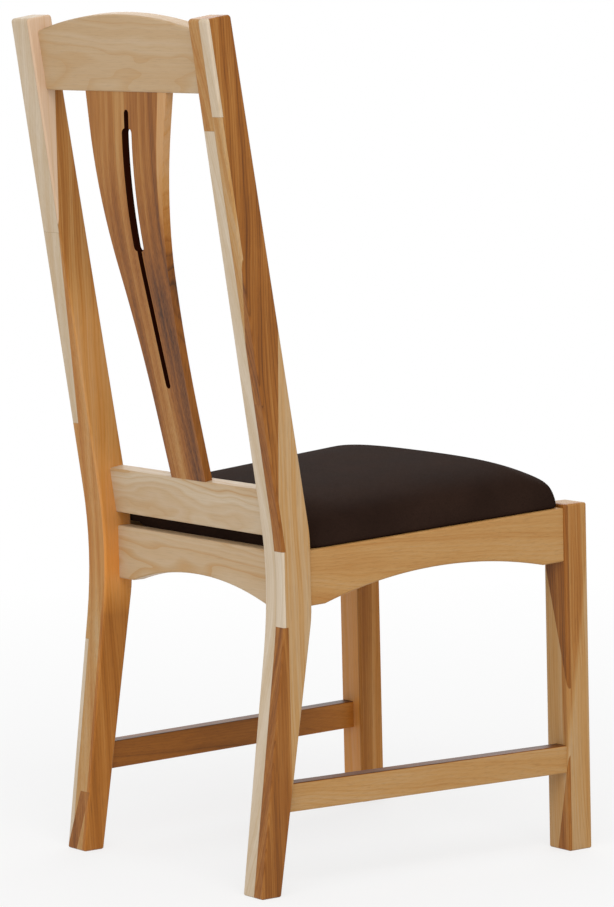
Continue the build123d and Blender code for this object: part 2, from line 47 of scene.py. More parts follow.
class Wire:  # one output socket of a material, with arithmetic that adds Math nodes
    def __init__(self, tree, socket=None):
        self.tree = tree
        self.socket = socket

    def node(self, kind, settings=None, inputs=None, output=0):
        made = self.tree.nodes.new(kind)
        for key, value in (settings or {}).items():
            if key == "stops":
                ramp = made.color_ramp
                while len(ramp.elements) < len(value):
                    ramp.elements.new(1.0)
                for element, (place, colour) in zip(ramp.elements, value):
                    element.position = place
                    element.color = (*colour, 1.0)
            else:
                setattr(made, key, value)
        for key, value in (inputs or {}).items():
            if isinstance(value, Wire):
                self.tree.links.new(value.socket, made.inputs[key])
            else:
                made.inputs[key].default_value = value
        return Wire(self.tree, made.outputs[output])

    def maths(self, operation, first, second=0.0):
        return self.node("ShaderNodeMath", {"operation": operation}, {0: first, 1: second})

    def __add__(self, other):
        return self.maths("ADD", self, other)

    def __radd__(self, other):
        return self.maths("ADD", other, self)

    def __sub__(self, other):
        return self.maths("SUBTRACT", self, other)

    def __rsub__(self, other):
        return self.maths("SUBTRACT", other, self)

    def __mul__(self, other):
        return self.maths("MULTIPLY", self, other)

    def __rmul__(self, other):
        return self.maths("MULTIPLY", other, self)

    def __abs__(self):
        return self.maths("ABSOLUTE", self)

    def root(self):
        return self.maths("SQRT", self)

    def most(self, other):
        return self.maths("MAXIMUM", self, other)

    def step(self, edge, soft):  # 0 below the edge, 1 above it
        inputs = {"Value": self, "From Min": edge - soft, "From Max": edge + soft}
        return self.node("ShaderNodeMapRange", None, inputs)

    def along(self, direction):  # how far a point lies along a direction
        settings = {"operation": "DOT_PRODUCT"}
        return self.node("ShaderNodeVectorMath", settings, {0: self, 1: direction}, "Value")

    def joined(self, x, y, z):
        return self.node("ShaderNodeCombineXYZ", None, {0: x, 1: y, 2: z})

    def noise(self, scale, detail=2.0):
        return self.node("ShaderNodeTexNoise", None, {"Vector": self, "Scale": scale, "Detail": detail})

    def lineNoise(self, scale, detail=2.0):
        settings = {"noise_dimensions": "1D"}
        return self.node("ShaderNodeTexNoise", settings, {"W": self, "Scale": scale, "Detail": detail})

    def mixed(self, other, share):  # colours
        return self.node("ShaderNodeMix", {"data_type": "RGBA"}, {0: share, 6: self, 7: other}, 2)

    def ramp(self, stops):
        return self.node("ShaderNodeValToRGB", {"stops": stops}, {0: self})

    def bump(self, relief):
        return self.node("ShaderNodeBump", None, {**relief, "Height": self})

    def spot(self):  # where a point lies in the chair's frame
        return self.node("ShaderNodeTexCoord", None, None, "Object")


def newMaterial(name):
    material = bpy.data.materials.new(name)
    material.use_nodes = True
    shader = material.node_tree.nodes["Principled BSDF"]
    return material, shader, Wire(material.node_tree)


def feed(shader, **wires):
    for key, value in wires.items():
        place = shader.inputs[key.replace("_", " ")]
        if isinstance(value, Wire):
            value.tree.links.new(value.socket, place)
        else:
            place.default_value = value


def coverWith(material, other, share):  # shows another shader over the material's own, by a share
    tree = material.node_tree
    own = Wire(tree, tree.nodes["Principled BSDF"].outputs[0])
    both = share.node("ShaderNodeMixShader", None, {0: share, 1: own, 2: other})
    tree.links.new(both.socket, tree.nodes["Material Output"].inputs["Surface"])


def dress(names, material):
    for name in names:
        slots = nodes[name].data.materials
        slots.clear()
        slots.append(material)


# Wood: glued staves, each with its own tone from sapwood (0) to dark heartwood (1)
wood = {
    "stops": [
        (0.00, srgb(216, 200, 179)),
        (0.15, srgb(202, 180, 150)),
        (0.30, srgb(191, 158, 117)),
        (0.45, srgb(186, 141, 85)),
        (0.60, srgb(170, 114, 54)),
        (0.75, srgb(147, 89, 32)),
        (0.90, srgb(113, 65, 24)),
        (1.00, srgb(66, 39, 21)),
    ],
    "dark": srgb(66, 40, 23),
    # Partly painted light: this amber stands in for warm light bounced onto the inner faces and for the
    # orange highlight along the splat's side edge, and partly gives the wood its own orange tone
    "amberLightAndTone": srgb(222, 139, 47),
    "glueSoft": 0.00025,
    "glueDark": 0.30,
    "poreDark": 0.24,
    "poreLeast": 0.12,
    "gloss": 0.42,
    "glossVary": 0.16,
    "shine": 0.20,
    "staveSeed": 1.7,  # sets the figure of one stave apart from the next one's
    "seedAlong": 0.37,
    "seedRing": 0.021,
    "slowAcross": 18,
    "hair": (9, 620),  # noise scales along and across the grain
    "pores": (45, 1300, 1.0),
    "cloud": (4, 24),
    "poreEdge": (0.62, 0.06),
    "earlyEdge": (0.20, 0.20),
    "yearLeast": 0.35,
    "lateGain": 0.35,
    "ringMean": 0.37,
    "bandShare": 0.30,
    "figureLeast": 0.6,
    "figureGain": 0.9,  # heartwood has the stronger figure
    "hairRelief": 0.5,
    "poreRelief": 0.7,
    "earlyRelief": 0.5,
    "relief": {"Strength": 0.10, "Distance": 0.0006},
}


def staveMask(spot, stave):  # 1 inside a stave and 0 outside it, and whether its border is a glue line
    mask, glued = 1.0, True
    for direction, low, high, *soft in stave["within"]:
        place = spot.along(direction)
        glued = glued and not soft
        soft = soft[0] if soft else wood["glueSoft"]
        if low is not None:
            mask = place.step(low, soft) * mask
        if high is not None:
            mask = (1 - place.step(high, soft)) * mask
    return mask, glued


def woodMaterial(name, look):
    material, shader, start = newMaterial(name)
    spot = start.spot()
    grain, across, deep = (spot.along(axis) for axis in look["axes"])
    tone, seed, glue, warmLightAndTone = look["tone"], look.get("seed", 0.0), 0.0, look.get("warmLightAndTone", 0.0)
    for number, stave in enumerate(look.get("staves", ()), 1):
        mask, glued = staveMask(spot, stave)
        tone = tone + mask * (stave["tone"] - tone)
        warmLightAndTone = warmLightAndTone + mask * (stave.get("warmLightAndTone", 0.0) - warmLightAndTone)
        if glued:  # a soft border is a change of colour within one stave
            seed = seed + mask * (number * wood["staveSeed"] - seed)
            glue = glue * (1 - mask) + mask * (1 - mask) * 4  # 1 in the middle of the border
    shift = seed * wood["seedAlong"]

    def streaks(along, beside, detail=2.0):  # noise drawn out along the grain
        return spot.joined(grain * along + shift, across * beside, deep * beside).noise(1.0, detail)

    slow = streaks(look["wave"], wood["slowAcross"])
    sideways = across - look["pith"][0]
    inwards = deep - look["pith"][1] - grain * look["tilt"]
    ring = (sideways * sideways + inwards * inwards).root() + slow * look["drift"] + seed * wood["seedRing"]
    years = ring * look["rings"]
    whole = years.maths("FLOOR", years)
    year = whole.node("ShaderNodeTexWhiteNoise", {"noise_dimensions": "1D"}, {"W": whole})
    through = years.maths("FRACT", years)
    strength = wood["yearLeast"] + year * (1 - wood["yearLeast"])
    early = (1 - through.step(*wood["earlyEdge"])) * strength  # open pores at the start of a year
    bands = ring.lineNoise(look["rings"] * wood["bandShare"], 2.0)
    hair, cloud = streaks(*wood["hair"]), streaks(*wood["cloud"])
    pores = streaks(*wood["pores"]).step(*wood["poreEdge"])
    figure = (
        (early + through * wood["lateGain"] - wood["ringMean"]) * look["ringDepth"]
        + (bands - 0.5) * look["bandDepth"]
        + (hair - 0.5) * look["hairDepth"]
        + (cloud - 0.5) * look["cloudDepth"]
    )
    colour = (tone + figure * (wood["figureLeast"] + tone * wood["figureGain"])).ramp(wood["stops"])
    # The amber share is partly painted warm light and partly the wood's own orange tone
    colour = colour.mixed((*wood["amberLightAndTone"], 1.0), warmLightAndTone)
    poreShade = pores * (wood["poreLeast"] + tone) * wood["poreDark"]
    colour = colour.mixed((*wood["dark"], 1.0), poreShade + glue * wood["glueDark"])
    relief = hair * wood["hairRelief"] - pores * wood["poreRelief"] - early * wood["earlyRelief"]
    rough = wood["gloss"] + (hair - 0.5) * wood["glossVary"]
    feed(shader, Base_Color=colour, Roughness=rough, Normal=relief.bump(wood["relief"]))
    feed(shader, Specular_IOR_Level=wood["shine"])
    if "cut" in look:
        look["cut"](spot, material)
    return material


xWay, yWay, zWay = (1, 0, 0), (0, 1, 0), (0, 0, 1)
post = {"lean": tan(radians(8.2)), "bend": (0.1737, 0.381)}  # slope of the back, depth and height of the bend
rakeWay = (0, 1, -post["lean"])  # depth behind the line of the posts' back edges
backRake = post["bend"][0] - post["bend"][1] * post["lean"]
upright = {
    "axes": ((0, 0.05, 1), xWay, yWay),
    "wave": 3.2,
    "tilt": 0.03,
    "drift": 0.018,
    "rings": 330,
    "ringDepth": 0.16,
    "bandDepth": 0.34,
    "hairDepth": 0.20,
    "cloudDepth": 0.22,
}

rightPost = {
    **upright,
    "tone": 0.41,
    "pith": (-0.08, 0.05),
    "layer": -0.1990,
    "glue": ((0, 1, 0.026), 0.1977, None),
    "backSkin": (rakeWay, backRake - 0.003, None),
}
outerLayer = (xWay, None, rightPost["layer"])
rightPost["staves"] = [
    {"tone": 0.78, "within": [rightPost["glue"], (zWay, 0.420, None)]},
    {"tone": 0.71, "within": [rightPost["glue"], (zWay, 0.90, None, 0.06)]},
    {"tone": 0.75, "within": [outerLayer, rightPost["backSkin"], (zWay, 0.420, 0.60)]},
    {"tone": 0.46, "within": [((1, 0, 0.165), -0.0886, None), rightPost["backSkin"], (zWay, 0.56, 0.946)]},
    {"tone": 0.74, "within": [(yWay, 0.175, None), (zWay, None, 0.328)]},
    {"tone": 0.08, "within": [outerLayer, (yWay, 0.1783, None), (zWay, 0.328, 0.420)]},
    {"tone": 0.12, "within": [(xWay, rightPost["layer"], None), (zWay, None, 0.929)]},
    {"tone": 0.52, "within": [(xWay, rightPost["layer"], None), (zWay, 0.929, None)]},
    {"tone": 0.12, "within": [outerLayer, (rakeWay, backRake - 0.004, None), (zWay, 0.946, None)]},
]
dress(["right_rear_post"], woodMaterial("rightPostWood", rightPost))

leftPost = {
    **upright,
    "tone": 0.54,
    "warmLightAndTone": 0.14,
    "seed": 4.0,
    "pith": (0.06, 0.06),
    "inner": (xWay, None, 0.1795),
}
# On the inner face the amber shares are partly painted warm bounce light and partly the wood's own orange
leftPost["staves"] = [
    {"tone": 0.45, "warmLightAndTone": 0.32, "within": [leftPost["inner"], (zWay, None, 0.72, 0.05)]},
    {"tone": 0.30, "warmLightAndTone": 0.82, "within": [leftPost["inner"], (zWay, None, 0.45, 0.08)]},
    # Partly painted light: this top of the inner face is a paler stave, set paler still to stand in for light
    # reflected onto it
    {"tone": 0.06, "warmLightAndTone": 0.24, "within": [leftPost["inner"], (yWay, 0.2345, None), (zWay, 0.76, None)]},
    {"tone": 0.60, "within": [leftPost["inner"], (yWay, None, 0.2345), (zWay, 0.74, None, 0.06)]},
    {"tone": 0.14, "within": [(xWay, 0.1795, None), (zWay, 0.7926, None)]},
    {"tone": 0.17, "within": [((1, 0, 0.092), 0.2529, None), (zWay, 0.547, 0.7926)]},
    {"tone": 0.71, "warmLightAndTone": 0.22, "within": [(xWay, None, 0.1830), (zWay, None, 0.33, 0.03)]},
    {"tone": 0.47, "within": [(xWay, 0.1830, None), (zWay, None, 0.33, 0.04)]},
    {"tone": 0.10, "within": [(xWay, 0.2070, None), (zWay, None, 0.268)]},
    {"tone": 0.74, "within": [((1, 0, 0.25), 0.1960, 0.2160), (zWay, None, 0.075), (yWay, 0.205, None)]},
]
dress(["left_rear_post"], woodMaterial("leftPostWood", leftPost))

rightLeg = {
    **upright,
    "axes": ((0, 0.02, 1), xWay, yWay),
    "tone": 0.43,
    "seed": 7.0,
    "pith": (-0.12, -0.14),
    "staves": [
        {"tone": 0.61, "within": [((0, 1, 0.145), -0.2165, None, 0.003), (xWay, None, -0.2300)]},
        {"tone": 0.82, "within": [((1, 0, -0.26), None, -0.2952), (yWay, -0.2410, None), (zWay, 0.16, None)]},
        {"tone": 0.72, "within": [((1, 0, 0.195), None, -0.2172), (yWay, -0.2385, None), (zWay, None, 0.16)]},
    ],
}
dress(["right_front_leg"], woodMaterial("rightLegWood", rightLeg))

# The amber shares on this far leg are partly painted warm bounce light and partly the wood's own orange
leftLeg = {
    **upright,
    "axes": ((0.01, 0.0, 1), yWay, xWay),
    "tone": 0.38,
    "warmLightAndTone": 0.54,
    "seed": 11.0,
    "pith": (-0.16, 0.12),
    "staves": [
        {"tone": 0.54, "warmLightAndTone": 0.30, "within": [(xWay, None, 0.2020)]},
        {"tone": 0.69, "warmLightAndTone": 0.14, "within": [((0, 1, 0.02), -0.2520, None, 0.001), (xWay, None, 0.2020)]},
    ],
}
dress(["left_front_leg"], woodMaterial("leftLegWood", leftLeg))

# Flat-sawn boards: wide arches and islands of grain along the length
flatSawn = {
    "axes": (xWay, zWay, yWay),
    "wave": 5.0,
    "tilt": 0.012,
    "drift": 0.016,
    "rings": 300,
    "ringDepth": 0.24,
    "bandDepth": 0.30,
    "hairDepth": 0.08,
    "cloudDepth": 0.16,
}
quiet = {"ringDepth": 0.12, "bandDepth": 0.20}
crestRail = {**flatSawn, "tone": 0.28, "seed": 2.0, "pith": (1.012, 0.11), **quiet}
dress(["crest_rail"], woodMaterial("crestRailWood", crestRail))

islands = {"rings": 230, "drift": 0.030, "wave": 6.0, "ringDepth": 0.30, "bandDepth": 0.34}
lowerRail = {**flatSawn, "tone": 0.25, "seed": 5.0, "pith": (0.452, 0.11), **islands}
dress(["lower_back_rail"], woodMaterial("lowerRailWood", lowerRail))

rearApron = {**flatSawn, "tone": 0.26, "seed": 8.0, "pith": (0.365, 0.08)}
dress(["rear_apron"], woodMaterial("rearApronWood", rearApron))

sideApron = {
    **flatSawn,
    "axes": ((-0.065, 1, -0.05), zWay, xWay),
    "tone": 0.48,
    "seed": 3.0,
    "pith": (0.33, -0.14),
    "ringDepth": 0.10,
    "bandDepth": 0.12,
    "hairDepth": 0.12,
}
dress(["right_side_apron"], woodMaterial("rightApronWood", sideApron))
dress(["left_side_apron"], woodMaterial("leftApronWood", {**sideApron, "seed": 6.0, "pith": (0.33, 0.14)}))

frontApron = {**rearApron, "seed": 13.0, "pith": (0.40, -0.33), "tone": 0.40}
dress(["front_apron"], woodMaterial("frontApronWood", frontApron))

stretchers = {
    **sideApron,
    "axes": ((-0.05, 1, 0.0), zWay, xWay),
    "tone": 0.46,
    "seed": 9.0,
    "pith": (0.08, -0.17),
}
# Painted reflection: the stretchers' top faces are darkened to stand in for the dark surroundings they mirror
# at a grazing angle
paintedDarkTop = {"tone": 0.94, "within": [(zWay, 0.1343, None, 0.0004)]}
nearStretcher = {**stretchers, "staves": [paintedDarkTop]}
# The amber shares on the far stretcher are partly painted warm bounce light and partly the wood's own orange
farStretcher = {
    **stretchers,
    "seed": 14.0,
    "pith": (0.08, 0.17),
    "tone": 0.83,
    "warmLightAndTone": 0.16,
    "bandDepth": 0.24,
    "staves": [{"tone": 0.66, "warmLightAndTone": 0.40, "within": [(yWay, None, -0.18, 0.05)]}, paintedDarkTop],
}
dress(["right_stretcher"], woodMaterial("rightStretcherWood", nearStretcher))
dress(["left_stretcher"], woodMaterial("leftStretcherWood", farStretcher))

sideWay = (1, 0, 0.0884)  # across the splat's right side
splat = {
    **upright,
    "axes": ((0, 0.2, 1), xWay, yWay),
    "tone": 0.66,
    "seed": 15.0,
    "pith": (0.42, 0.21),
    "tilt": 0.01,
    "bandDepth": 0.24,
    "staves": [
        {"tone": 0.64, "within": [(xWay, 0.026, None)]},
        {"tone": 0.77, "within": [(xWay, 0.026, None), (zWay, None, 0.84, 0.06)]},
        {"tone": 0.54, "within": [(xWay, 0.004, 0.026)]},
        {"tone": 0.60, "within": [(xWay, 0.004, 0.026), (zWay, None, 0.86, 0.05)]},
        {"tone": 0.68, "within": [(xWay, 0.004, 0.026), (zWay, 0.66, 0.83, 0.05)]},
        {"tone": 0.68, "within": [(xWay, -0.034, 0.004)]},
        {"tone": 0.75, "within": [(xWay, None, -0.034)]},
        {"tone": 0.94, "within": [(xWay, None, -0.010, 0.012), (zWay, None, 0.80, 0.08)]},
        # Partly painted highlight: the amber shares on the side face stand in for the orange highlight along
        # its edge, besides the pale stave's own tone
        {"tone": 0.84, "warmLightAndTone": 0.06, "within": [(sideWay, None, 0.0150, 0.0020), (zWay, None, 0.83, 0.07)]},
        {"tone": 0.34, "warmLightAndTone": 0.25, "within": [(sideWay, None, 0.0165, 0.0008), (zWay, 0.83, None, 0.07)]},
    ],
    "slotHalf": 0.00475,
    "slotSpan": (0.6050, 0.9510),
    "wideHalf": 0.0105,
    "wideSpan": (0.7770, 0.9280),
    "wideCorner": 0.006,
    "darkOver": 0.00015,
    "darkSoft": 0.00005,
    "slotColour": srgb(40, 14, 5),
    "slotRough": 0.9,
}


def darkSlotWalls(spot, material):  # the sawn walls of the slots are coloured nearly black
    def wall(half, span, corner):
        middle, reach = (span[0] + span[1]) / 2, (span[1] - span[0]) / 2
        beside = (abs(spot.along(xWay)) - (half - corner)).most(0.0)
        above = (abs(spot.along(zWay) - middle) - (reach - corner)).most(0.0)
        outside = (beside * beside + above * above).root()
        return 1 - outside.step(corner + splat["darkOver"], splat["darkSoft"])

    narrow = wall(splat["slotHalf"], splat["slotSpan"], splat["slotHalf"])
    walls = narrow.most(wall(splat["wideHalf"], splat["wideSpan"], splat["wideCorner"]))
    inputs = {"Base Color": (*splat["slotColour"], 1.0), "Roughness": splat["slotRough"]}
    slotDark = walls.node("ShaderNodeBsdfPrincipled", None, {**inputs, "Specular IOR Level": 0.0})
    coverWith(material, slotDark, walls)


dress(["back_splat"], woodMaterial("splatWood", {**splat, "cut": darkSlotWalls}))
print("wood: posts, legs, rails, aprons, stretchers and splat")

# Hidden woods under the seat
block = {**frontApron, "axes": ((1, 1, 0), zWay, (1, -1, 0)), "tone": 0.30, "seed": 17.0}
dress([name for name in nodes if name.endswith("corner_block")], woodMaterial("blockWood", block))
dowel = {**stretchers, "tone": 0.28, "seed": 19.0}
dress([name for name in nodes if name.endswith("_dowels")], woodMaterial("dowelWood", dowel))
board = {**frontApron, "tone": 0.36, "rings": 420, "axes": (xWay, yWay, zWay), "pith": (0.3, 0.2)}
dress(["seat_board"], woodMaterial("boardPlywood", board))


# Dust cover: thin black non-woven cloth
cloth = {
    "stops": [(0.3, srgb(22, 22, 23)), (0.75, srgb(46, 46, 48))],
    "fibres": 1600.0,
    "rough": 0.92,
    "relief": {"Strength": 0.3, "Distance": 0.0003},
}


def dustCloth():
    material, shader, start = newMaterial("dustCloth")
    fibres = start.spot().noise(cloth["fibres"], 3.0)
    relief = fibres.bump(cloth["relief"])
    feed(shader, Base_Color=fibres.ramp(cloth["stops"]), Roughness=cloth["rough"], Normal=relief)
    return material


dress(["dust_cover"], dustCloth())

zinc = {
    "stops": [(0.3, srgb(168, 164, 150)), (0.7, srgb(205, 203, 196))],
    "mottle": 900.0,
    "rough": 0.28,
    "roughVary": 0.25,
}


def zincSteel():
    material, shader, start = newMaterial("zincSteel")
    mottle = start.spot().noise(zinc["mottle"], 3.0)
    rough = zinc["rough"] + mottle * zinc["roughVary"]
    feed(shader, Base_Color=mottle.ramp(zinc["stops"]), Metallic=1.0, Roughness=rough)
    return material


steel = zincSteel()
weldDigits = 6  # points that agree to a micrometre are one
seatSlope = radians(2.9)


# Screws and staples: Geometry Nodes set one made from plain shapes on each place that the CAD gives
def looseParts(name):  # the separate solids of a CAD node, each as an array of points
    mesh = nodes[name].data
    points = np.array([nodes[name].matrix_world @ vertex.co for vertex in mesh.vertices])
    _, spots = np.unique(np.round(points, weldDigits), axis=0, return_inverse=True)
    group = np.arange(spots.max() + 1)
    ends = spots.ravel()[np.array([edge.vertices[:] for edge in mesh.edges])]
    while True:
        least = np.minimum(group[ends[:, 0]], group[ends[:, 1]])
        settled = group.copy()
        np.minimum.at(settled, ends[:, 0], least)
        np.minimum.at(settled, ends[:, 1], least)
        if (settled == group).all():
            break
        group = settled
    owner = group[spots.ravel()]
    return [points[owner == part] for part in np.unique(owner)]


class Tree:  # a Geometry Nodes group with named inputs
    def __init__(self, name, sizes):
        self.group = bpy.data.node_groups.new(name, "GeometryNodeTree")
        face = self.group.interface
        face.new_socket("Places", in_out="INPUT", socket_type="NodeSocketGeometry")
        for key in sizes:
            face.new_socket(key, in_out="INPUT", socket_type="NodeSocketFloat")
        face.new_socket("Finish", in_out="INPUT", socket_type="NodeSocketMaterial")
        face.new_socket("Made", in_out="OUTPUT", socket_type="NodeSocketGeometry")
        self.sizes = sizes
        self.given = self.group.nodes.new("NodeGroupInput").outputs

    def add(self, kind, inputs, settings=None, output=0):
        node = self.group.nodes.new(kind)
        for key, value in (settings or {}).items():
            setattr(node, key, value)
        for key, value in inputs.items():
            for item in value if isinstance(value, list) else [value]:
                if isinstance(item, bpy.types.NodeSocket):
                    self.group.links.new(item, node.inputs[key])
                else:
                    node.inputs[key].default_value = item
        return node.outputs[output]

    def less(self, first, second):
        return self.add("ShaderNodeMath", {0: first, 1: second}, {"operation": "SUBTRACT"})

    def times(self, first, factor):
        return self.add("ShaderNodeMath", {0: first, 1: factor}, {"operation": "MULTIPLY"})

    def block(self, x, y, z, lift, across=0.0):  # a box whose middle lies at a height, and to one side
        size = self.add("ShaderNodeCombineXYZ", {0: x, 1: y, 2: z})
        box = self.add("GeometryNodeMeshCube", {"Size": size})
        place = self.add("ShaderNodeCombineXYZ", {0: across, 2: lift})
        return self.add("GeometryNodeTransform", {"Geometry": box, "Translation": place})

    def rod(self, radius, length, lift):
        rod = self.add(
            "GeometryNodeMeshCylinder", {"Vertices": screws["flats"], "Radius": radius, "Depth": length}
        )
        place = self.add("ShaderNodeCombineXYZ", {2: lift})
        return self.add("GeometryNodeTransform", {"Geometry": rod, "Translation": place})

    def spread(self, piece, stretch=None):
        turn = self.add("GeometryNodeInputNamedAttribute", {"Name": "turn"}, {"data_type": "FLOAT_VECTOR"})
        inputs = {
            "Points": self.given["Places"],
            "Instance": piece,
            "Rotation": self.add("FunctionNodeEulerToRotation", {0: turn}),
        }
        if stretch:
            inputs["Scale"] = stretch
        return self.add("GeometryNodeInstanceOnPoints", inputs)

    def close(self, pieces):
        joined = self.add("GeometryNodeJoinGeometry", {"Geometry": pieces})
        plain = self.add("GeometryNodeRealizeInstances", {"Geometry": joined})
        made = self.add("GeometryNodeSetMaterial", {"Geometry": plain, "Material": self.given["Finish"]})
        ending = self.group.nodes.new("NodeGroupOutput")
        self.group.links.new(made, ending.inputs["Made"])

    def grow(self, name, places, turns, reaches):
        points = bpy.data.meshes.new(name + "Places")
        points.from_pydata([tuple(place) for place in places], [], [])
        turn = points.attributes.new("turn", "FLOAT_VECTOR", "POINT")
        turn.data.foreach_set("vector", np.array(turns, dtype=np.float32).ravel())
        reach = points.attributes.new("reach", "FLOAT", "POINT")
        reach.data.foreach_set("value", np.array(reaches, dtype=np.float32))
        holder = bpy.data.objects.new(name + "Places", points)
        bpy.context.scene.collection.objects.link(holder)
        maker = holder.modifiers.new("make", "NODES")
        maker.node_group = self.group
        for item in self.group.interface.items_tree:
            if item.in_out == "INPUT" and item.name in self.sizes:
                maker[item.identifier] = self.sizes[item.name]
            if item.in_out == "INPUT" and item.name == "Finish":
                maker[item.identifier] = steel
        graph = bpy.context.evaluated_depsgraph_get()
        mesh = bpy.data.meshes.new_from_object(holder.evaluated_get(graph), depsgraph=graph)
        bpy.data.objects.remove(holder)
        piece = bpy.data.objects.new(name, mesh)
        bpy.context.scene.collection.objects.link(piece)
        return piece


screws = {
    "sizes": {
        "Head Radius": 0.0042,
        "Head Height": 0.0026,
        "Shank Radius": 0.0021,
        "Recess": 0.0042,
        "Recess Width": 0.0011,
        "Recess Depth": 0.0030,
    },
    "flats": 24,
    "endBand": 1e-5,
    "nodes": {"corner_block_screws": "blockScrews", "seat_screws": "seatScrews"},
}


def screwTree(sizes):  # head below the place, shank above it
    tree = Tree("screws", sizes)
    given = tree.given
    head = tree.rod(given["Head Radius"], given["Head Height"], tree.times(given["Head Height"], -0.5))
    low = tree.times(given["Head Height"], -1.0)
    cross = [
        tree.block(given["Recess"], given["Recess Width"], given["Recess Depth"], low),
        tree.block(given["Recess Width"], given["Recess"], given["Recess Depth"], low),
    ]
    for cut in cross:
        solver = {"operation": "DIFFERENCE", "solver": "EXACT"}
        head = tree.add("GeometryNodeMeshBoolean", {"Mesh 1": head, "Mesh 2": cut}, solver)
    shank = tree.rod(given["Shank Radius"], 1.0, 0.5)
    reach = tree.add("GeometryNodeInputNamedAttribute", {"Name": "reach"}, {"data_type": "FLOAT"})
    stretch = tree.add("ShaderNodeCombineXYZ", {0: 1.0, 1: 1.0, 2: reach})
    tree.close([tree.spread(head), tree.spread(shank, stretch)])
    return tree


def aim(upward, along=None):  # Euler turn that takes z to a direction, and x to another
    upward = Vector(upward).normalized()
    along = upward.orthogonal() if along is None else Vector(along)
    along = (along - upward * along.dot(upward)).normalized()
    return Matrix((along, upward.cross(along), upward)).transposed().to_euler()


def screwPlaces(name):  # the head is the wider end of each CAD screw
    places, turns, reaches = [], [], []
    for points in looseParts(name):
        middle = points.mean(axis=0)
        axis = np.linalg.svd(points - middle, full_matrices=False)[2][0]
        along = (points - middle) @ axis
        beside = np.linalg.norm(points - middle - np.outer(along, axis), axis=1)
        if beside[along > along.mean()].max() > beside[along < along.mean()].max():
            axis, along = -axis, -along
        core = middle + axis * (along.min() + screws["sizes"]["Head Height"])
        end = points[np.isclose(along, along.min(), atol=screws["endBand"])].mean(axis=0)
        places.append(core + end - middle - axis * along.min())
        turns.append(aim(axis))
        reaches.append(np.ptp(along) - screws["sizes"]["Head Height"])
    return places, turns, reaches


tree = screwTree(screws["sizes"])
for node, name in screws["nodes"].items():
    piece = tree.grow(name, *screwPlaces(node))
    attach(piece, "root")
    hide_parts(node)

staples = {"sizes": {"Crown": 0.010, "Width": 0.0012, "Wire": 0.0007, "Leg": 0.0082}, "crownBand": 1e-4}


def stapleTree(sizes):  # crown below, legs above
    tree = Tree("staples", sizes)
    given = tree.given
    crown = tree.block(given["Crown"], given["Width"], given["Wire"], tree.times(given["Wire"], 0.5))
    apart = tree.times(tree.less(given["Crown"], given["Wire"]), 0.5)
    up = tree.times(given["Leg"], 0.5)
    legs = [
        tree.block(given["Wire"], given["Width"], given["Leg"], up, side)
        for side in (apart, tree.times(apart, -1.0))
    ]
    tree.close([tree.spread(piece) for piece in (crown, *legs)])
    return tree


def staplePlaces():
    up = Vector((0, sin(seatSlope), cos(seatSlope)))
    places, turns = [], []
    for points in looseParts("cover_staples"):
        height = points @ np.array(up)
        low = points[height < height.min() + staples["crownBand"]]
        wide = np.linalg.svd(low - low.mean(axis=0), full_matrices=False)[2][0]
        places.append((low.max(axis=0) + low.min(axis=0)) / 2)
        turns.append(aim(up, wide))
    return places, turns, [1.0] * len(places)


piece = stapleTree(staples["sizes"]).grow("coverStaples", *staplePlaces())
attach(piece, "root")
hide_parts("cover_staples")
print("fasteners: screws and staples")

# Seat: leather drawn over foam, crowned, lower at the rear, notched round the front legs
seat = {
    "face": 0.139,
    "level": 0.418,
    "lift": 0.0003,
    "rear": 0.137,
    "front": -0.2635,
    "halfRear": 0.2085,
    "skew": 0.06542,
    "notchSide": 0.196,
    "notchBack": -0.233,
    "crown": 0.0575,
    "sideRoundness": 3.648,
    "rearRoundness": 2.309,
    "frontRoundness": 1.411,
    "edge": 0.005,
    "sideReach": 0.2600,
    "rearReach": 0.0734,
    "frontReach": 0.0708,
    "notchReach": 0.0075,
    "notchRoundness": 5.0,
    "rimReach": 0.0070,
    "rimRoundness": 2.0,
    "cornerReach": 0.0205,
    "cornerRoundness": 1.4,
    "cornerSide": 0.215,
    "cornerShare": 0.55,
    "rise": 0.385,
    "rearCorner": 0.024,
    "frontCorner": 0.018,
    "notchCorner": 0.008,
    "middle": (0.0, -0.063),
    "rays": 360,
    "rings": 56,
    "ringPower": 1.9,  # draws the rings together at the rim
    "hemLoops": 8,
    "rollLoops": 7,
    "farthest": 0.4,
    "halvings": 40,
    "tries": 4001,
    "drawIn": 0.003,
    "turnUnder": 0.036,
    "tuck": 0.0065,
    "tuckHalf": 0.165,
    "tuckFrom": 0.100,
    "tuckBlend": 0.02,
    "thickness": 0.0012,
    "boardTop": 0.0138,
    "foamInset": 0.0034,
}


def blendLeast(first, second, width):
    share = np.clip(0.5 + 0.5 * (second - first) / width, 0, 1)
    return second * (1 - share) + first * share - width * share * (1 - share)


def seatEdges(x, y, inset):  # distances in from the side, rear, front and notch
    beside = np.abs(x)
    side = (seat["halfRear"] + (seat["face"] - y) * seat["skew"] - beside) / np.hypot(1, seat["skew"])
    notch = np.hypot(np.maximum(seat["notchSide"] - beside, 0), np.maximum(y - seat["notchBack"], 0))
    return [edge - inset for edge in (side, seat["rear"] - y, y - seat["front"], notch)]


def seatDepth(x, y, inset):  # how far a point lies inside the seat's rounded outline
    side, rear, front, notch = seatEdges(x, y, inset)
    behind = blendLeast(side, rear, seat["rearCorner"])
    ahead = blendLeast(front, notch, seat["frontCorner"])
    return blendLeast(behind, ahead, seat["notchCorner"])


def swell(distance, reach, roundness):
    share = np.clip(distance / reach, 0, 1)
    return (1 - (1 - share) ** roundness) ** (1 / roundness)


